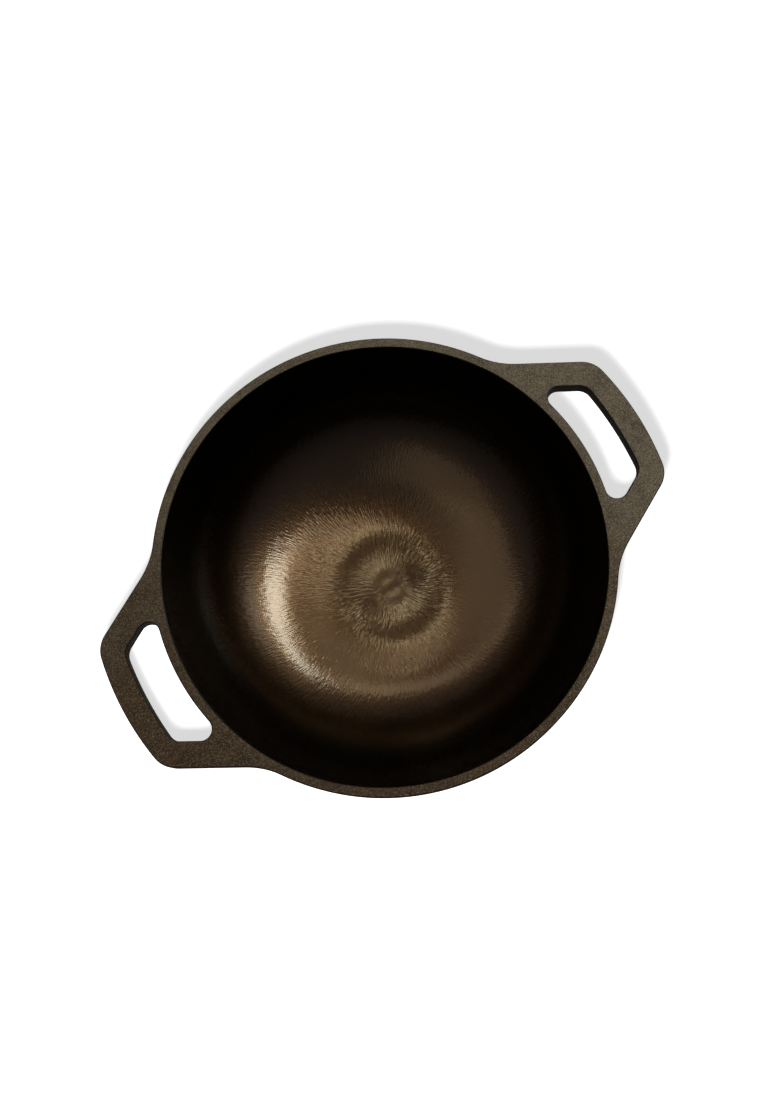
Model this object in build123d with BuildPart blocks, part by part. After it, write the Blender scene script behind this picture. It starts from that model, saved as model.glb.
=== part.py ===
from build123d import *
import os
from math import acos, asin, cos, degrees, hypot, isclose, radians, sin

# A cast iron kadai: a deep round pan with two flat loop handles, cast in one piece.
# Millimetres, +Z up, +X along the handles, origin at the middle of the flat base.

# Bowl
rim_diameter = 240.0
rim_land = 5.4
rim_chamfer = 0.6
inner_depth = 78.0
floor_thickness = 5.0
wall_thickness = 4.8
inner_flat_diameter = 50.0
base_diameter = 110.0
base_edge_radius = 2.5

# Handles, measured in the plan of the rim
handle_thickness = 10.0
handle_reach = 32.4
grip_width = 12.7
grip_span = 71.6
grip_outer_radius = 155.0
grip_inner_radius = 189.0
grip_corner_radius = 14.5
arm_width = 13.4
arm_angle = 29.2
root_radius = 44.0
window_grip_radius = 7.8
window_rim_radius = 5.8
edge_radius = 1.0

# Where the casting is divided into its named pieces
floor_lip = 4.0
lower_wall_share = 0.22
middle_wall_share = 0.34
foot_depth = 1.5
foot_margin = 4.0
overrun = 5.0

# Bowl, worked out: one arc from the flat of the floor to the rim, and one round it
rim_radius = rim_diameter / 2
base_radius = base_diameter / 2
inner_rim_radius = rim_radius - rim_land
inner_flat_radius = inner_flat_diameter / 2
height = floor_thickness + inner_depth
band_bottom = height - handle_thickness
flare = inner_rim_radius - inner_flat_radius
inner_arc_radius = (flare**2 + inner_depth**2) / (2 * inner_depth)
outer_arc_radius = inner_arc_radius + wall_thickness
arc_centre = (inner_flat_radius, floor_thickness + inner_arc_radius)

# Handles, worked out: an arm's two edges are straight and lie at these distances from the axis
grip_outer_x = rim_radius + handle_reach
grip_inner_x = grip_outer_x - grip_width
grip_turn = asin(grip_span / 2 / grip_outer_radius)
corner_x = grip_outer_x - grip_outer_radius * (1 - cos(grip_turn))
corner_y = grip_span / 2
arm_offset = corner_x * sin(radians(arm_angle)) + corner_y * cos(radians(arm_angle))
window_offset = arm_offset - arm_width

# Each foot of a handle sits in a shallow seat of the rim, a little longer than the stretch
# from the end of its root fillet to the corner of its window
across_arm = 90 - arm_angle
root_turn = acos((arm_offset + root_radius) / (rim_radius + root_radius))
window_turn = acos((window_offset - window_rim_radius) / (rim_radius + window_rim_radius))
margin_angle = degrees(foot_margin / rim_radius)
foot_start = across_arm - degrees(window_turn) - margin_angle
foot_end = across_arm - degrees(root_turn) + margin_angle
seat_radius = rim_radius - foot_depth

# Heights at which the bowl is divided
floor_top = floor_thickness + floor_lip
wall_height = band_bottom - floor_top
lower_wall_top = floor_top + lower_wall_share * wall_height
middle_wall_top = lower_wall_top + middle_wall_share * wall_height


def handle_face(reach, arc_radius, offset):
    """One handle's plan: the end of a disc, between two straight arm edges."""
    apex = offset / sin(radians(arm_angle))
    half_width = apex * sin(radians(arm_angle)) / cos(radians(arm_angle))
    with Locations((reach - arc_radius, 0)):
        Circle(arc_radius)
    Polygon((apex, 0), (0, half_width), (0, -half_width), align=None, mode=Mode.INTERSECT)


def on_rim(corners):
    """The corners of a plan that lie on the rim's outer circle."""
    return [corner for corner in corners if isclose(hypot(corner.X, corner.Y), rim_radius)]


def ring_between(low, high):
    """The slice of the casting between two heights."""
    add(casting.part)
    split(bisect_by=Plane.XY.offset(low), keep=Keep.TOP)
    split(bisect_by=Plane.XY.offset(high), keep=Keep.BOTTOM)


def finish_piece(piece, label):
    """Name a finished piece, write its file and print its size."""
    piece.part.label = label
    export_step(piece.part, f"parts/{label}.step")
    box = piece.part.bounding_box()
    solids = len(piece.part.solids())
    print(f"{label}: {solids} solid, {piece.part.volume / 1000:.1f} cm3, {box.size}")


os.makedirs("parts", exist_ok=True)

# Plan of the rim and both handles: each arm runs into the rim's circle through a fillet
with BuildSketch(Plane.XY.offset(height)) as rim_plan:
    handle_face(grip_outer_x, grip_outer_radius, arm_offset)
    fillet(rim_plan.vertices().group_by(Axis.X)[-1], radius=grip_corner_radius)
    mirror(about=Plane.YZ)
    Circle(rim_radius)
    fillet(on_rim(rim_plan.vertices()), radius=root_radius)

# Plan of the two windows, where fingers and a cloth go through: the rim is their inner side
with BuildSketch(Plane.XY.offset(height)) as window_plan:
    handle_face(grip_inner_x, grip_inner_radius, window_offset)
    Circle(rim_radius, mode=Mode.SUBTRACT)
    split(bisect_by=Plane.YZ, keep=Keep.TOP)
    fillet(window_plan.vertices().group_by(Axis.X)[-1], radius=window_grip_radius)
    fillet(on_rim(window_plan.vertices()), radius=window_rim_radius)
    mirror(about=Plane.YZ)

# Section of the bowl's outside, from the flat base to the rim
with BuildSketch(Plane.XZ) as outside:
    with BuildLine():
        CenterArc(arc_centre, outer_arc_radius, 0, 360)
        Line((0, 0), (base_radius, 0))
        Line((rim_radius, band_bottom), (rim_radius, height))
    make_hull()
    Rectangle(rim_radius, height, align=(Align.MIN, Align.MIN), mode=Mode.INTERSECT)
    base_edge = outside.vertices().group_by(Axis.Y)[0].sort_by(Axis.X)[-1]
    fillet(base_edge, radius=base_edge_radius)

# Section of the bowl's inside: a flat floor that runs into one long arc
with BuildSketch(Plane.XZ) as inside:
    with BuildLine():
        floor_line = Line((0, floor_thickness), (inner_flat_radius, floor_thickness))
        wall_line = TangentArc(floor_line @ 1, (inner_rim_radius, height), tangent=floor_line % 1)
        Polyline(
            wall_line @ 1,
            (inner_rim_radius, height + overrun),
            (0, height + overrun),
            floor_line @ 0,
        )
    make_face()

# Plan of the four seats: sectors that lie outside the bottom of the seats
with BuildSketch(Plane.XY.offset(band_bottom)) as seat_plan:
    far = Vector(rim_diameter, 0)
    Polygon((0, 0), far.rotate(Axis.Z, foot_start), far.rotate(Axis.Z, foot_end), align=None)
    mirror(about=Plane.XZ)
    mirror(about=Plane.YZ)
    Circle(seat_radius, mode=Mode.SUBTRACT)

# The whole casting, before it is divided
with BuildPart() as casting:
    extrude(rim_plan.sketch, amount=-handle_thickness)
    extrude(window_plan.sketch, amount=-handle_thickness, mode=Mode.SUBTRACT)
    fillet(casting.edges().group_by(Axis.Z)[0], radius=edge_radius)
    revolve(outside.sketch, axis=Axis.Z)
    fillet(casting.faces().sort_by(Axis.Z)[-1].edges(), radius=edge_radius)
    revolve(inside.sketch, axis=Axis.Z, mode=Mode.SUBTRACT)
    top_circles = casting.edges().filter_by(GeomType.CIRCLE).group_by(Axis.Z)[-1]
    mouth = [edge for edge in top_circles if isclose(edge.radius, inner_rim_radius)]
    chamfer(mouth, length=rim_chamfer)

# Floor: the flat base and the foot of the curve
with BuildPart() as bowl_floor:
    ring_between(0, floor_top)
finish_piece(bowl_floor, "bowl_floor")

# Wall: the shallow start of the curve, its middle and the steep top
with BuildPart() as lower_wall:
    ring_between(floor_top, lower_wall_top)
finish_piece(lower_wall, "lower_wall")

with BuildPart() as middle_wall:
    ring_between(lower_wall_top, middle_wall_top)
finish_piece(middle_wall, "middle_wall")

with BuildPart() as upper_wall:
    ring_between(middle_wall_top, band_bottom)
finish_piece(upper_wall, "upper_wall")

# Rim: the top of the wall, as thick as the handles, with a seat for each foot of a handle
with BuildPart() as rim_band:
    ring_between(band_bottom, height)
    with BuildSketch(Plane.XY.offset(band_bottom)):
        Circle((rim_radius + grip_inner_x) / 2)
    extrude(amount=handle_thickness, mode=Mode.INTERSECT)
    extrude(seat_plan.sketch, amount=handle_thickness, mode=Mode.SUBTRACT)
finish_piece(rim_band, "rim_band")

# Handles: what is left of the casting's top, one on each side
with BuildPart() as handle_right:
    ring_between(band_bottom, height)
    add(rim_band.part, mode=Mode.SUBTRACT)
    split(bisect_by=Plane.YZ, keep=Keep.TOP)
finish_piece(handle_right, "handle_right")

with BuildPart() as handle_left:
    ring_between(band_bottom, height)
    add(rim_band.part, mode=Mode.SUBTRACT)
    split(bisect_by=Plane.YZ, keep=Keep.BOTTOM)
finish_piece(handle_left, "handle_left")
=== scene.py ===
from math import acos, asin, atan2, cos, hypot, pi, radians, sin, tan

import bmesh
import bpy
from mathutils import Matrix, Vector


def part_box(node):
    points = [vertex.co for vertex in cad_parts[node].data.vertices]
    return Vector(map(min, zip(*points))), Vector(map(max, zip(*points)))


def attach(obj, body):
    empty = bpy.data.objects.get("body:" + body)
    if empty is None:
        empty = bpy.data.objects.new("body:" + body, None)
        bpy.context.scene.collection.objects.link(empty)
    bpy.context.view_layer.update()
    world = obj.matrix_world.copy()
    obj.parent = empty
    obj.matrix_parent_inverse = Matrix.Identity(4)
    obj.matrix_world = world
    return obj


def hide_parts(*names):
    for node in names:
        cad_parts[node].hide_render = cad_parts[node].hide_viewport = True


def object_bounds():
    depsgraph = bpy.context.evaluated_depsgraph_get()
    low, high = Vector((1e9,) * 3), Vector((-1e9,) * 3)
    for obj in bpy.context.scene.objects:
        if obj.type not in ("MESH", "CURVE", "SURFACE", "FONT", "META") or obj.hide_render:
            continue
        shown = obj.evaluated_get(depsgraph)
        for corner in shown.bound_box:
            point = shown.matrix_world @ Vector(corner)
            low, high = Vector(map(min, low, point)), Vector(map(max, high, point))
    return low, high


# A cast iron kadai seen from above: a round bowl with a turned inside and two loop handles
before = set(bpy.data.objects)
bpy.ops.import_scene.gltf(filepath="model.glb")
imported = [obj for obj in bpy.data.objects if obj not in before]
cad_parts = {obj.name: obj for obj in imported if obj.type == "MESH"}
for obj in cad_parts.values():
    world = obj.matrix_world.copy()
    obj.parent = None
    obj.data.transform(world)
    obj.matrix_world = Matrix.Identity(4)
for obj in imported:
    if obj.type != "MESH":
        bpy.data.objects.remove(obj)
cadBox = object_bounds()
mm = 0.001
samePlace = 0.001 * mm  # points nearer than this are one
rimTop = cadBox[1].z
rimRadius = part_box("rim_band")[1].y
gripReach = cadBox[1].x
noiseSpread = (0.3, 0.7)  # nearly all values of a noise texture lie between these


def toLinear(hexColour):
    # an sRGB hex colour as the linear colour that the shaders work in
    channels = [int(hexColour[i : i + 2], 16) / 255 for i in (1, 3, 5)]
    linear = [c / 12.92 if c <= 0.04045 else ((c + 0.055) / 1.055) ** 2.4 for c in channels]
    return (*linear, 1.0)


def addNode(tree, kind, inputs=None, **settings):
    # a node with its settings; an input is a value, or the node or output that feeds it, and
    # sockets that share a name are given by their number
    node = tree.nodes.new(kind)
    for name, value in settings.items():
        setattr(node, name, value)
    for name, value in (inputs or {}).items():
        if isinstance(value, bpy.types.Node):
            value = value.outputs[0]
        if isinstance(value, bpy.types.NodeSocket):
            tree.links.new(value, node.inputs[name])
        else:
            node.inputs[name].default_value = value
    return node


def newMaterial(name):
    material = bpy.data.materials.new(name)
    material.use_nodes = True
    return material, material.node_tree, material.node_tree.nodes["Principled BSDF"]


def lineTo(drawing, tip, place):
    # draws a straight stretch of an outline and returns its new tip
    tip = bmesh.ops.extrude_vert_indiv(drawing, verts=[tip])["verts"][0]
    tip.co = place
    return tip


def arcTo(drawing, tip, centre, axis, turn, steps):
    # draws an arc of an outline about its centre and returns its new tip
    arc = bmesh.ops.spin(drawing, geom=[tip], cent=centre, axis=axis, angle=turn, steps=steps)
    return arc["geom_last"][0]


def polar(radius, angle, centre=(0, 0)):
    # the point at this radius and angle round a centre, level with the rim's top
    return Vector((centre[0] + radius * cos(angle), centre[1] + radius * sin(angle), rimTop))


def finishPiece(drawing, name, materials, nodes):
    # makes a drawing into a piece that stands for these nodes
    mesh = bpy.data.meshes.new(name)
    drawing.to_mesh(mesh)
    drawing.free()
    piece = bpy.data.objects.new(name, mesh)
    bpy.context.scene.collection.objects.link(piece)
    for material in materials:
        mesh.materials.append(material)
    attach(piece, "root")
    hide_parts(*nodes)
    print(name, len(mesh.vertices), "vertices")
    return piece


# Turned iron: grey cast iron cut on a lathe, then baked with oil. It is a dark brown metal under a
# clear film of baked oil, and the tool's chatter has left short marks that all point to the middle.
# Near the mouth its colour goes almost black, which is painted shade for the steep wall
turnedFinish = {
    "colour": "#4f3b28",
    "middleColour": "#37291a",
    "middleTo": (26 * mm, 42 * mm),  # the middle's colour fades out between these radii
    # painted shade: near black on the steep wall by the mouth, which reflects only dark there
    "mouthPaintedShade": "#080605",
    "mouthFrom": (76 * mm, 102 * mm),  # the mouth's painted shade comes in between these radii
    "roughness": (0.27, 0.33),  # it differs from patch to patch
    "patchSize": 18 * mm,
    "patchDetail": 3,
    "oilFilm": (0.9, 0.3),  # in the middle and at the mouth
    "oilRoughness": 0.13,
    "oilIor": 1.6,
    "chatterWidth": 0.8 * mm,  # drawn coarser than the real marks, which are too fine to show
    "chatterLength": 5.0 * mm,
    "chatterDepth": 0.15 * mm,
    "chatterDetail": 1.5,
    "chatterRadius": 65 * mm,  # the radius where a mark is as wide as chatterWidth
    "fullDepthFrom": 30 * mm,  # the marks have their whole depth from this radius on
    "innerMarksShare": 0.27,  # marks round the middle, as a share of those further out
    "innerMarksTo": (24 * mm, 50 * mm),  # they give way to the others between these radii
    "climb": 0.7,  # how much of its height counts towards the way along the wall
    "groovePitch": 1.4 * mm,  # drawn coarser than the real 0.3 mm or so, too fine to show
    "grooveDepth": 0.002 * mm,
    "pitSpacing": 24 * mm,
    "pitRadius": 0.5 * mm,
    "pitFloorShare": 0.5,  # how much of a pit's radius its floor takes up
    "pitDepth": 0.04 * mm,
}


def turnedIron(finish):
    material, tree, shader = newMaterial("turned seasoned iron")
    place = addNode(tree, "ShaderNodeTexCoord").outputs["Object"]
    flat = addNode(tree, "ShaderNodeVectorMath", {0: place, 1: (1, 1, 0)}, operation="MULTIPLY")
    radius = addNode(tree, "ShaderNodeVectorMath", {0: flat}, operation="LENGTH").outputs["Value"]
    towards = addNode(tree, "ShaderNodeVectorMath", {0: flat}, operation="NORMALIZE")
    height = addNode(tree, "ShaderNodeSeparateXYZ", {0: place}).outputs["Z"]
    climbed = addNode(tree, "ShaderNodeMath", {0: height, 1: finish["climb"]}, operation="MULTIPLY")
    along = addNode(tree, "ShaderNodeMath", {0: radius, 1: climbed}, operation="ADD")

    # chatter marks: noise on a circle, drawn out along the wall, with fewer and shallower
    # marks near the middle
    marksAround = finish["chatterRadius"] / finish["chatterWidth"]
    drawnOut = {0: along, 1: finish["chatterLength"]}
    drawnOut = addNode(tree, "ShaderNodeMath", drawnOut, operation="DIVIDE")
    rise = addNode(tree, "ShaderNodeCombineXYZ", {"Z": drawnOut})
    marks = []
    for share in (finish["innerMarksShare"], 1):
        ring = {0: towards, "Scale": share * marksAround}
        ring = addNode(tree, "ShaderNodeVectorMath", ring, operation="SCALE")
        spot = addNode(tree, "ShaderNodeVectorMath", {0: ring, 1: rise}, operation="ADD")
        noise = {"Vector": spot, "Scale": 1, "Detail": finish["chatterDetail"]}
        marks.append(addNode(tree, "ShaderNodeTexNoise", noise))
    nearMiddle, farMiddle = finish["innerMarksTo"]
    outwards = {"Value": radius, "From Min": nearMiddle, "From Max": farMiddle}
    outwards = addNode(tree, "ShaderNodeMapRange", outwards, interpolation_type="SMOOTHSTEP")
    chatter = {0: outwards, 2: marks[0], 3: marks[1]}
    chatter = addNode(tree, "ShaderNodeMix", chatter, data_type="FLOAT")
    deepen = {"Value": radius, "From Max": finish["fullDepthFrom"]}
    deepen = addNode(tree, "ShaderNodeMapRange", deepen)
    chatter = addNode(tree, "ShaderNodeMath", {0: chatter, 1: deepen}, operation="MULTIPLY")
    chatter = {"Height": chatter, "Distance": finish["chatterDepth"]}
    chatter = addNode(tree, "ShaderNodeBump", chatter)

    # turning grooves, and a few small pits where the iron was porous
    turns = {0: along, 1: 2 * pi / finish["groovePitch"]}
    turns = addNode(tree, "ShaderNodeMath", turns, operation="MULTIPLY")
    waves = addNode(tree, "ShaderNodeMath", {0: turns}, operation="SINE")
    grooves = {"Height": waves, "Distance": finish["grooveDepth"], "Normal": chatter}
    grooves = addNode(tree, "ShaderNodeBump", grooves)
    cells = {"Vector": place, "Scale": 1 / finish["pitSpacing"]}
    cells = addNode(tree, "ShaderNodeTexVoronoi", cells)
    pitEdge = finish["pitRadius"] / finish["pitSpacing"]
    pit = {"Value": cells, "From Min": pitEdge, "From Max": pitEdge * finish["pitFloorShare"]}
    pit = addNode(tree, "ShaderNodeMapRange", pit, interpolation_type="SMOOTHSTEP")
    pits = {"Height": pit, "Distance": finish["pitDepth"], "Normal": grooves}
    surface = addNode(tree, "ShaderNodeBump", pits, invert=True)

    # roughness, colour with its painted shade by the mouth, and the oil's film, which is thin at the
    # mouth and gone in the pits
    patches = {"Vector": place, "Scale": 1 / finish["patchSize"], "Detail": finish["patchDetail"]}
    patches = addNode(tree, "ShaderNodeTexNoise", patches)
    low, high = noiseSpread
    smooth, rough = finish["roughness"]
    roughness = {"Value": patches, "From Min": low, "From Max": high, "To Min": smooth, "To Max": rough}
    roughness = addNode(tree, "ShaderNodeMapRange", roughness)
    mouthStart, mouthFull = finish["mouthFrom"]
    mouth = {"Value": radius, "From Min": mouthStart, "From Max": mouthFull}
    mouth = addNode(tree, "ShaderNodeMapRange", mouth, interpolation_type="SMOOTHSTEP")
    middleFull, middleEnd = finish["middleTo"]
    middle = {"Value": radius, "From Min": middleEnd, "From Max": middleFull}
    middle = addNode(tree, "ShaderNodeMapRange", middle, interpolation_type="SMOOTHSTEP")
    colour = toLinear(finish["colour"])
    # the mouth's colour is painted shade
    for cover, over in ((middle, "middleColour"), (mouth, "mouthPaintedShade")):
        mix = {0: cover, 6: colour, 7: toLinear(finish[over])}
        colour = addNode(tree, "ShaderNodeMix", mix, data_type="RGBA").outputs[2]
    filmMiddle, filmMouth = finish["oilFilm"]
    film = {"Value": mouth, "To Min": filmMiddle, "To Max": filmMouth}
    film = addNode(tree, "ShaderNodeMapRange", film)
    film = addNode(tree, "ShaderNodeMath", {0: film, 1: pit}, operation="SUBTRACT", use_clamp=True)
    tree.links.new(colour, shader.inputs["Base Color"])
    tree.links.new(roughness.outputs[0], shader.inputs["Roughness"])
    tree.links.new(film.outputs[0], shader.inputs["Coat Weight"])
    tree.links.new(surface.outputs[0], shader.inputs["Normal"])
    tree.links.new(surface.outputs[0], shader.inputs["Coat Normal"])
    shader.inputs["Metallic"].default_value = 1
    shader.inputs["Coat Roughness"].default_value = finish["oilRoughness"]
    shader.inputs["Coat IOR"].default_value = finish["oilIor"]
    return material


# Cast iron as it comes from a sand mould, baked with oil: a dull grey-brown with the sand's grain,
# dark pits and lighter worn grains, more brown in large patches and towards one side, which is partly
# its own tint and partly painted shade, and painted shade darkens the sideways faces of rim and handles
castFinish = {
    "colour": "#4c463f",
    "brownAndShadeColour": "#3b2e23",
    "pitColour": "#15110c",
    "grainColour": "#736b62",
    # painted shade, darkening the sideways faces near the top
    "paintedSideShade": "#1b1712",
    # what covers the plain colour, from the lowest layer up: what drives it, where that starts and
    # where it is full, the most that it covers, and its colour
    "layers": (
        ("brown", 0.25, 0.85, 1, "brownAndShadeColour"),
        ("patches", 0.45, 0.75, 0.5, "pitColour"),
        ("grain", 0.5, 0.3, 0.9, "pitColour"),
        ("grain", 0.5, 0.7, 0.8, "grainColour"),
        # painted shade on the sideways faces near the top
        ("shadedSides", 0, 1, 1, "paintedSideShade"),
    ),
    # each noise: the size of its spots, its levels of detail, and how much the finer ones count
    "grain": (0.65 * mm, 3, 0.7),
    "patches": (9 * mm, 4, 0.55),
    "brown": (30 * mm, 3, 0.6),
    "grainDepth": 0.14 * mm,
    "brownAndShadeSide": (-0.35, -0.7, 0),  # the side made more brown and darker: partly its own tint, partly painted shade away from the lamps
    "brownAndShadeReach": 200 * mm,
    "sideFacing": (0.75, 0.985),  # a normal's Z up to which a face is all side, and from which none
    "sideBelowRim": (15 * mm, 11 * mm),  # depth under the top where their painted shade starts and is full
    "roughness": (0.7, 0.5),  # in the pits and on the worn grains
    "specular": 0.2,
}


def castIron(finish):
    material, tree, shader = newMaterial("sand cast seasoned iron")
    place = addNode(tree, "ShaderNodeTexCoord").outputs["Object"]
    sources = {}
    for name in ("grain", "patches", "brown"):
        size, detail, finer = finish[name]
        noise = {"Vector": place, "Scale": 1 / size, "Detail": detail, "Roughness": finer}
        sources[name] = addNode(tree, "ShaderNodeTexNoise", noise)
    # towards one side the brown patches grow: partly the iron's own tint, partly painted shade on the
    # side away from the lamps
    brownAndShadeWay = [share / finish["brownAndShadeReach"] for share in finish["brownAndShadeSide"]]
    brownerAndShaded = addNode(tree, "ShaderNodeVectorMath", {0: place, 1: brownAndShadeWay}, operation="DOT_PRODUCT")
    brownerAndShaded = {0: sources["brown"], 1: brownerAndShaded.outputs["Value"]}
    sources["brown"] = addNode(tree, "ShaderNodeMath", brownerAndShaded, operation="ADD")

    # painted shade on what faces sideways and lies near the rim's top
    normal = addNode(tree, "ShaderNodeNewGeometry").outputs["Normal"]
    facing = addNode(tree, "ShaderNodeSeparateXYZ", {0: normal}).outputs["Z"]
    sideways, level = finish["sideFacing"]
    shadedSides = {"Value": facing, "From Min": level, "From Max": sideways}
    shadedSides = addNode(tree, "ShaderNodeMapRange", shadedSides, interpolation_type="SMOOTHSTEP")
    start, full = finish["sideBelowRim"]
    height = addNode(tree, "ShaderNodeSeparateXYZ", {0: place}).outputs["Z"]
    nearTop = {"Value": height, "From Min": rimTop - start, "From Max": rimTop - full}
    nearTop = addNode(tree, "ShaderNodeMapRange", nearTop, interpolation_type="SMOOTHSTEP")
    shadedSides = addNode(tree, "ShaderNodeMath", {0: shadedSides, 1: nearTop}, operation="MULTIPLY")
    sources["shadedSides"] = shadedSides

    colour = toLinear(finish["colour"])
    for source, start, full, most, over in finish["layers"]:
        cover = {"Value": sources[source], "From Min": start, "From Max": full, "To Max": most}
        cover = addNode(tree, "ShaderNodeMapRange", cover, interpolation_type="SMOOTHSTEP")
        mix = {0: cover, 6: colour, 7: toLinear(finish[over])}
        colour = addNode(tree, "ShaderNodeMix", mix, data_type="RGBA").outputs[2]

    # rougher in the pits than on the grains, and wholly rough on the sides
    grain = sources["grain"]
    low, high = noiseSpread
    rough, smooth = finish["roughness"]
    roughness = {"Value": grain, "From Min": low, "From Max": high, "To Min": rough, "To Max": smooth}
    roughness = addNode(tree, "ShaderNodeMapRange", roughness)
    roughness = addNode(tree, "ShaderNodeMath", {0: roughness, 1: shadedSides}, operation="MAXIMUM")
    surface = addNode(tree, "ShaderNodeBump", {"Height": grain, "Distance": finish["grainDepth"]})
    tree.links.new(colour, shader.inputs["Base Color"])
    tree.links.new(roughness.outputs[0], shader.inputs["Roughness"])
    tree.links.new(surface.outputs[0], shader.inputs["Normal"])
    shader.inputs["Specular IOR Level"].default_value = finish["specular"]
    return material


turned = turnedIron(turnedFinish)
cast = castIron(castFinish)
print("finishes ready")

# Bowl
bowl = {
    "rimLand": 5.4 * mm,
    "mouthChamfer": 0.6 * mm,
    "edgeRound": 1.0 * mm,
    "bandHeight": 10.0 * mm,
    "bandRound": 3.0 * mm,
    "innerDepth": 78.0 * mm,
    "innerFlatRadius": 25.0 * mm,
    "edgeSlope": 1.5,  # the wall's arc ends at this slope in degrees, just outside the flat
    # the floor's shallow dish, from there to the middle: each radius, and the slope there
    "dish": ((19 * mm, 3.9), (13 * mm, 4.4), (9 * mm, 2.0), (7 * mm, 1.8), (4 * mm, 3.2), (0, 0)),
    "wallThickness": 4.8 * mm,
    "baseRadius": 55.0 * mm,
    "baseRound": 2.5 * mm,
    "landFacing": 0.99,  # a normal's Z above which a face at the rim's top is its land
    "stepsRound": 360,
    "stepsInside": 60,
    "stepsDish": 8,
    "stepsOutside": 14,
    "stepsEdge": 4,
}


def makeBowl(dims):
    innerRim = rimRadius - dims["rimLand"]
    floorZ = rimTop - dims["innerDepth"]
    flare = innerRim - dims["innerFlatRadius"]
    insideArc = (flare**2 + dims["innerDepth"] ** 2) / (2 * dims["innerDepth"])
    outsideArc = insideArc + dims["wallThickness"]
    centreX, centreZ = dims["innerFlatRadius"], floorZ + insideArc
    centre = (centreX, 0, centreZ)
    bandBottom = rimTop - dims["bandHeight"]
    up = (0, -1, 0)

    def touchSlope(x, z, way):
        # slope of a straight line from this point outside the outer arc that touches the arc
        aside, below = x - centreX, centreZ - z
        return atan2(aside, below) + way * acos(outsideArc / hypot(aside, below))

    lowSlope = touchSlope(dims["baseRadius"], 0, 1)
    highSlope = touchSlope(rimRadius, bandBottom, -1)

    # the section's outside, from the middle of the base round the wall to the rim's band
    section = bmesh.new()
    tip = section.verts.new((0, 0, 0))
    flatEnd = dims["baseRadius"] - dims["baseRound"] * tan(lowSlope / 2)
    tip = lineTo(section, tip, (flatEnd, 0, 0))
    tip = arcTo(section, tip, (flatEnd, 0, dims["baseRound"]), up, lowSlope, dims["stepsEdge"])
    touch = (centreX + outsideArc * sin(lowSlope), 0, centreZ - outsideArc * cos(lowSlope))
    tip = lineTo(section, tip, touch)
    tip = arcTo(section, tip, centre, up, highSlope - lowSlope, dims["stepsOutside"])
    cornerTurn = pi / 2 - highSlope
    back = dims["bandRound"] * tan(cornerTurn / 2)
    cornerStart = (rimRadius - back * cos(highSlope), 0, bandBottom - back * sin(highSlope))
    tip = lineTo(section, tip, cornerStart)
    cornerCentre = (rimRadius - dims["bandRound"], 0, bandBottom + back)
    tip = arcTo(section, tip, cornerCentre, up, cornerTurn, dims["stepsEdge"])

    # the rim's edge and its land, then the inside down to the middle of the dished floor
    edge = dims["edgeRound"]
    tip = lineTo(section, tip, (rimRadius, 0, rimTop - edge))
    tip = arcTo(section, tip, (rimRadius - edge, 0, rimTop - edge), up, pi / 2, dims["stepsEdge"])
    chamfer = dims["mouthChamfer"]
    tip = lineTo(section, tip, (innerRim + chamfer, 0, rimTop))
    mouthSlope = asin(flare / insideArc) - chamfer / insideArc
    mouth = (centreX + insideArc * sin(mouthSlope), 0, centreZ - insideArc * cos(mouthSlope))
    tip = lineTo(section, tip, mouth)
    slope = radians(dims["edgeSlope"])
    tip = arcTo(section, tip, centre, up, slope - mouthSlope, dims["stepsInside"])
    for radius, degrees in dims["dish"]:
        nextSlope = radians(degrees)
        bend = (tip.co.x - radius) / (sin(slope) - sin(nextSlope))
        bendCentre = (tip.co.x - bend * sin(slope), 0, tip.co.z + bend * cos(slope))
        tip = arcTo(section, tip, bendCentre, up, nextSlope - slope, dims["stepsDish"])
        slope = nextSlope
    tip.co.x = 0

    bmesh.ops.spin(
        section,
        geom=section.verts[:] + section.edges[:],
        cent=(0, 0, 0),
        axis=(0, 0, 1),
        angle=2 * pi,
        steps=dims["stepsRound"],
        use_merge=True,
    )
    bmesh.ops.remove_doubles(section, verts=section.verts, dist=samePlace)
    bmesh.ops.recalc_face_normals(section, faces=section.faces)

    # the inside and its floor are turned, and the land, the outside and the base are as cast
    for face in section.faces:
        face.smooth = True
        spot = face.calc_center_median()
        fromCentre = hypot(hypot(spot.x, spot.y) - centreX, spot.z - centreZ)
        inside = fromCentre < insideArc + dims["wallThickness"] / 2
        onFloor = hypot(spot.x, spot.y) < centreX and spot.z > floorZ / 2
        onLand = face.normal.z > dims["landFacing"] and spot.z > rimTop - chamfer / 2
        face.material_index = 0 if (inside or onFloor) and not onLand else 1
    return section


# Handles
handle = {
    "thickness": 10.0 * mm,
    "gripWidth": 12.7 * mm,
    "gripSpan": 71.6 * mm,
    "gripOuterRadius": 155.0 * mm,
    "gripInnerRadius": 189.0 * mm,
    "gripCorner": 14.5 * mm,
    "armWidth": 13.4 * mm,
    "armAngle": 29.2,
    "rootRadius": 44.0 * mm,
    "windowGripRadius": 7.8 * mm,
    "windowRimRadius": 5.8 * mm,
    "edgeRound": 0.98 * mm,
    "footDepth": 1.0 * mm,  # how far each end of an arm reaches into the rim
    "stepLength": 0.8 * mm,
    "stepsLeast": 4,
    "stepsEdge": 4,
}


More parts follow.
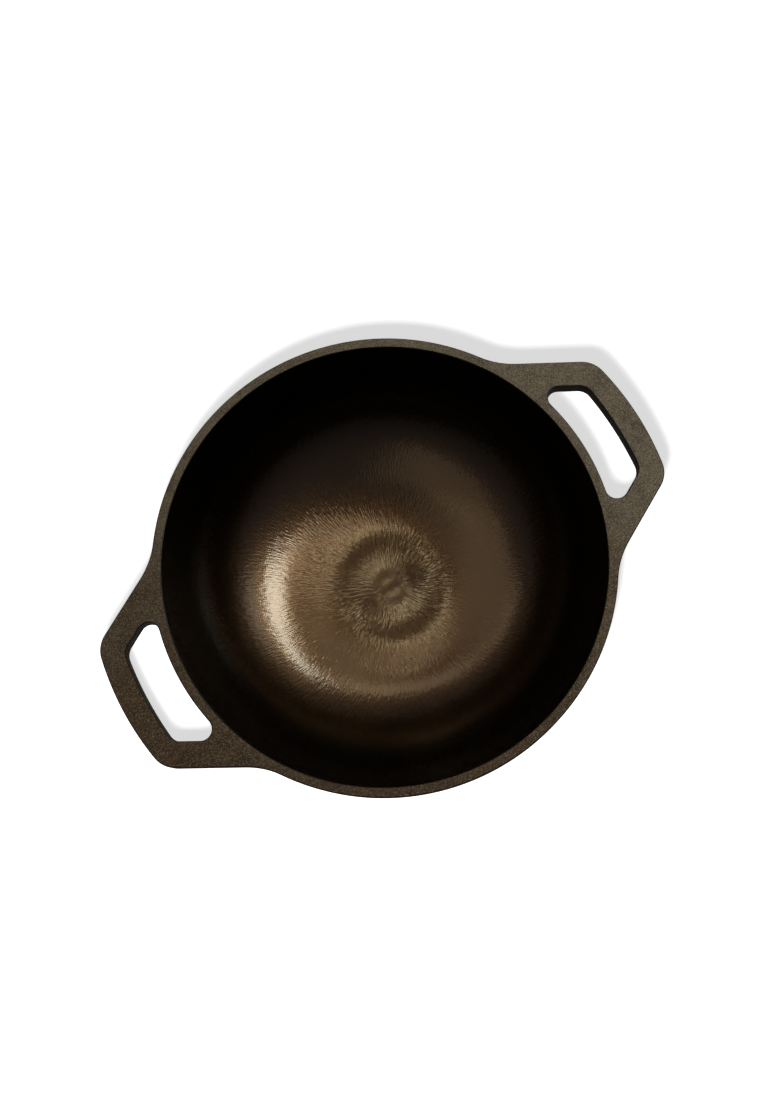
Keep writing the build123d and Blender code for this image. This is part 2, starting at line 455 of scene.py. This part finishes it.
def makeHandle(dims, side):
    # half of the plan, from the end of the root fillet round the grip to the window's corner
    outerRadius, innerRadius = dims["gripOuterRadius"], dims["gripInnerRadius"]
    outerCentre = (gripReach - outerRadius, 0)
    innerCentre = (gripReach - dims["gripWidth"] - innerRadius, 0)
    across = radians(90 - dims["armAngle"])
    gripTurn = asin(dims["gripSpan"] / 2 / outerRadius)
    cornerX = gripReach - outerRadius * (1 - cos(gripTurn))
    armOffset = cornerX * cos(across) + dims["gripSpan"] / 2 * sin(across)
    windowOffset = armOffset - dims["armWidth"]

    def filletAngle(centreX, reach, offset):
        # where a fillet's centre lies round the centre of the arc that it touches
        return across - acos((offset - centreX * cos(across)) / reach)

    root, corner = dims["rootRadius"], dims["gripCorner"]
    small, tight = dims["windowGripRadius"], dims["windowRimRadius"]
    rootAngle = filletAngle(0, rimRadius + root, armOffset + root)
    tightAngle = filletAngle(0, rimRadius + tight, windowOffset - tight)
    cornerAngle = filletAngle(outerCentre[0], outerRadius - corner, armOffset - corner)
    smallAngle = filletAngle(innerCentre[0], innerRadius - small, windowOffset - small)
    rootCentre = polar(rimRadius + root, rootAngle)
    cornerCentre = polar(outerRadius - corner, cornerAngle, outerCentre)
    smallCentre = polar(innerRadius - small, smallAngle, innerCentre)
    tightCentre = polar(rimRadius + tight, tightAngle)
    footRadius = rimRadius - dims["footDepth"]
    plan = bmesh.new()

    def arc(tip, centre, radius, turn):
        steps = max(dims["stepsLeast"], round(radius * abs(turn) / dims["stepLength"]))
        return arcTo(plan, tip, (centre[0], centre[1], rimTop), (0, 0, 1), turn, steps)

    start = plan.verts.new(polar(footRadius, rootAngle))
    tip = lineTo(plan, start, polar(rimRadius, rootAngle))
    tip = arc(tip, rootCentre, root, across - rootAngle)
    tip = lineTo(plan, tip, polar(corner, across, cornerCentre))
    tip = arc(tip, cornerCentre, corner, cornerAngle - across)
    tip = arc(tip, outerCentre, outerRadius, -cornerAngle)
    tip = lineTo(plan, tip, (gripReach - dims["gripWidth"], 0, rimTop))
    tip = arc(tip, innerCentre, innerRadius, smallAngle)
    tip = arc(tip, smallCentre, small, across - smallAngle)
    tip = lineTo(plan, tip, polar(tight, across, tightCentre))
    tip = arc(tip, tightCentre, tight, pi + tightAngle - across)
    tip = lineTo(plan, tip, polar(footRadius, tightAngle))
    arc(tip, (0, 0), footRadius, rootAngle - tightAngle)
    bmesh.ops.remove_doubles(plan, verts=plan.verts, dist=samePlace)
    bmesh.ops.contextual_create(plan, geom=plan.edges)

    # the whole plan, then its thickness
    half = plan.faces[:] + plan.edges[:] + plan.verts[:]
    bmesh.ops.mirror(plan, geom=half, axis="Y", merge_dist=samePlace)
    middle = [edge for edge in plan.edges if all(abs(end.co.y) < samePlace for end in edge.verts)]
    bmesh.ops.dissolve_edges(plan, edges=middle, use_verts=False)
    grown = bmesh.ops.extrude_face_region(plan, geom=plan.faces[:])
    lower = [part for part in grown["geom"] if isinstance(part, bmesh.types.BMVert)]
    bmesh.ops.translate(plan, verts=lower, vec=(0, 0, -dims["thickness"]))
    bmesh.ops.recalc_face_normals(plan, faces=plan.faces)

    def onOutline(edge):
        # whether it runs round the top or the bottom, outside the rim
        first, second = (end.co for end in edge.verts)
        spot = (first + second) / 2
        return abs(first.z - second.z) < samePlace and hypot(spot.x, spot.y) > rimRadius - samePlace

    bmesh.ops.bevel(
        plan,
        geom=[edge for edge in plan.edges if onOutline(edge)],
        offset=dims["edgeRound"],
        offset_type="OFFSET",
        segments=dims["stepsEdge"],
        profile=0.5,
        affect="EDGES",
        material=-1,
    )
    bmesh.ops.scale(plan, vec=(side, 1, 1), verts=plan.verts)
    bmesh.ops.recalc_face_normals(plan, faces=plan.faces)
    for face in plan.faces:
        face.smooth = True
    return plan


bowlNodes = ["bowl_floor", "lower_wall", "middle_wall", "upper_wall", "rim_band"]
pieces = [finishPiece(makeBowl(bowl), "bowl", [turned, cast], bowlNodes)]
for sideName, side in (("right", 1), ("left", -1)):
    drawing = makeHandle(handle, side)
    nodes = [f"handle_{sideName}"]
    pieces.append(finishPiece(drawing, f"{sideName}_handle", [cast], nodes))
for piece in pieces:
    flats = piece.modifiers.new("even flats", "WEIGHTED_NORMAL")
    flats.keep_sharp = True
    flats.weight = 100  # large faces stay flat, and the small ones at their edges take up the turn

# White paper: it shows white to the camera and in reflections, and keeps the pan's shadow
paper = {
    "reach": 6,  # metres from the middle to each side
    "colour": "#f2f2f2",
    "roughness": 0.9,
    "whiteness": 0.64,
}


def whitePaper(finish):
    material, tree, shader = newMaterial("white paper")
    path = addNode(tree, "ShaderNodeLightPath").outputs
    seen = {0: path["Is Camera Ray"], 1: path["Is Glossy Ray"]}
    seen = addNode(tree, "ShaderNodeMath", seen, operation="MAXIMUM")
    seen = {0: seen, 1: path["Is Transmission Ray"]}
    seen = addNode(tree, "ShaderNodeMath", seen, operation="MAXIMUM")
    glow = {0: seen, 1: finish["whiteness"]}
    glow = addNode(tree, "ShaderNodeMath", glow, operation="MULTIPLY")
    tree.links.new(glow.outputs[0], shader.inputs["Emission Strength"])
    shader.inputs["Emission Color"].default_value = (1, 1, 1, 1)
    shader.inputs["Base Color"].default_value = toLinear(finish["colour"])
    shader.inputs["Roughness"].default_value = finish["roughness"]
    shader.inputs["Specular IOR Level"].default_value = 0
    return material


def makeFloor(dims):
    drawing = bmesh.new()
    bmesh.ops.create_grid(drawing, x_segments=1, y_segments=1, size=dims["reach"])
    mesh = bpy.data.meshes.new("floor")
    drawing.to_mesh(mesh)
    drawing.free()
    mesh.materials.append(whitePaper(dims))
    floor = bpy.data.objects.new("floor", mesh)
    bpy.context.scene.collection.objects.link(floor)
    return floor


floor = makeFloor(paper)

# World: a faint grey light on everything, and a pale grey beyond the paper for the camera
surround = {"light": 0.08, "backdrop": 0.75}


def makeWorld(greys):
    world = bpy.data.worlds.new("studio")
    world.use_nodes = True
    tree = world.node_tree
    seen = addNode(tree, "ShaderNodeLightPath").outputs["Is Camera Ray"]
    grey = {"Value": seen, "To Min": greys["light"], "To Max": greys["backdrop"]}
    grey = addNode(tree, "ShaderNodeMapRange", grey)
    tree.links.new(grey.outputs[0], tree.nodes["Background"].inputs["Color"])
    return world


bpy.context.scene.world = makeWorld(surround)
print("floor and world ready")

# Softboxes round the mouth of the pan. toward is the azimuth and elevation at which one lies, turn
# is its turn about that direction, all in degrees, size is its length and width in metres, and
# brightness is that of its surface, where 1 is white
lampDistance = 0.85
bright = (1, 0.99, 0.83)
warm = (1, 0.81, 0.51)
gold = (1, 0.76, 0.38)
plain = (1, 1, 1)
softboxes = {
    "main": dict(toward=(-10, 43.2), size=(0.39, 0.21), turn=-22, brightness=9.2, colour=bright),
    "mainLow": dict(toward=(-6, 25), size=(0.4, 0.16), turn=-10, brightness=0.7, colour=bright),
    "mainTop": dict(toward=(18, 35), size=(0.32, 0.07), turn=-6, brightness=12, colour=bright),
    "overhead": dict(toward=(-29, 70), size=(0.55, 0.13), turn=-101, brightness=4.4, colour=warm),
    "backStrip": dict(toward=(76, 61), size=(0.4, 0.043), turn=-109, brightness=6.6, colour=warm),
    "backLow": dict(toward=(71, 38), size=(0.85, 0.12), turn=177, brightness=1.3, colour=warm),
    "backSoft": dict(toward=(43, 53), size=(0.63, 0.25), turn=-62, brightness=0.7, colour=warm),
    "left": dict(toward=(138, 54), size=(0.83, 0.59), turn=-174, brightness=0.46, colour=warm),
    "leftLow": dict(toward=(122, 30), size=(0.4, 0.1), turn=0, brightness=0.8, colour=warm),
    "frontLeft": dict(toward=(-155, 47), size=(0.67, 0.44), turn=178, brightness=0.28, colour=warm),
    "middleNear": dict(toward=(79, 71.5), size=(0.1, 0.05), turn=0, brightness=5.2, colour=gold),
    "middleFar": dict(toward=(75, 87), size=(0.08, 0.05), turn=0, brightness=6.5, colour=gold),
    "middleSide": dict(toward=(32, 82.6), size=(0.1, 0.09), turn=0, brightness=1.3, colour=gold),
}

# A soft lamp close to the right handle, kept out of reflections
closeLamp = dict(
    toward=(25, 52), size=(0.2, 0.2), turn=0, brightness=4.4, colour=bright, distance=0.45
)

# A small lamp beside the camera that lights the paper alone, and so throws the shadow round the pan
paperLamp = dict(
    toward=(242, 71.8), size=(0.055, 0.055), turn=0, brightness=540, colour=plain, distance=0.64
)


def addSoftbox(name, box, lit):
    # a lamp that faces the middle of the mouth and lights the pieces of one collection
    lamp = bpy.data.lights.new(name, "AREA")
    lamp.shape = "RECTANGLE"
    length, width = box["size"]
    lamp.size, lamp.size_y = length, width
    lamp.energy = box["brightness"] * pi * length * width
    lamp.color = box["colour"]
    across, rise = (radians(angle) for angle in box["toward"])
    turn = radians(box["turn"])
    towards = Vector((cos(rise) * cos(across), cos(rise) * sin(across), sin(rise)))
    level = Vector((0, 0, 1)).cross(towards).normalized()
    longWay = level * cos(turn) + towards.cross(level) * sin(turn)
    axes = Matrix((longWay, towards.cross(longWay), towards)).transposed()
    lampObject = bpy.data.objects.new(name, lamp)
    lampObject.location = Vector((0, 0, rimTop)) + towards * box.get("distance", lampDistance)
    lampObject.rotation_euler = axes.to_euler()
    bpy.context.scene.collection.objects.link(lampObject)
    lampObject.light_linking.receiver_collection = lit
    return lampObject


panOnly = bpy.data.collections.new("lit by the softboxes")
for piece in pieces:
    panOnly.objects.link(piece)
floorOnly = bpy.data.collections.new("lit by the paper lamp")
floorOnly.objects.link(floor)
for name, box in softboxes.items():
    addSoftbox(name, box, panOnly)
close = addSoftbox("closeLamp", closeLamp, panOnly)
close.visible_glossy = False
addSoftbox("paperLamp", paperLamp, floorOnly)
print("light ready")

cameraView = {
    "place": (-34.5 * mm, -135.1 * mm, 760.2 * mm),
    "turn": (11.45, 2.89, -30.07),
    "lens": 43.86,
    "sensor": 36,
    "nearest": 10 * mm,
}
camera = bpy.data.objects.new("camera", bpy.data.cameras.new("camera"))
camera.location = cameraView["place"]
camera.rotation_euler = [radians(angle) for angle in cameraView["turn"]]
camera.data.lens = cameraView["lens"]
camera.data.sensor_width = cameraView["sensor"]
camera.data.clip_start = cameraView["nearest"]
bpy.context.scene.collection.objects.link(camera)
bpy.context.scene.camera = camera
bpy.context.scene.view_settings.view_transform = "Standard"
print("camera ready")
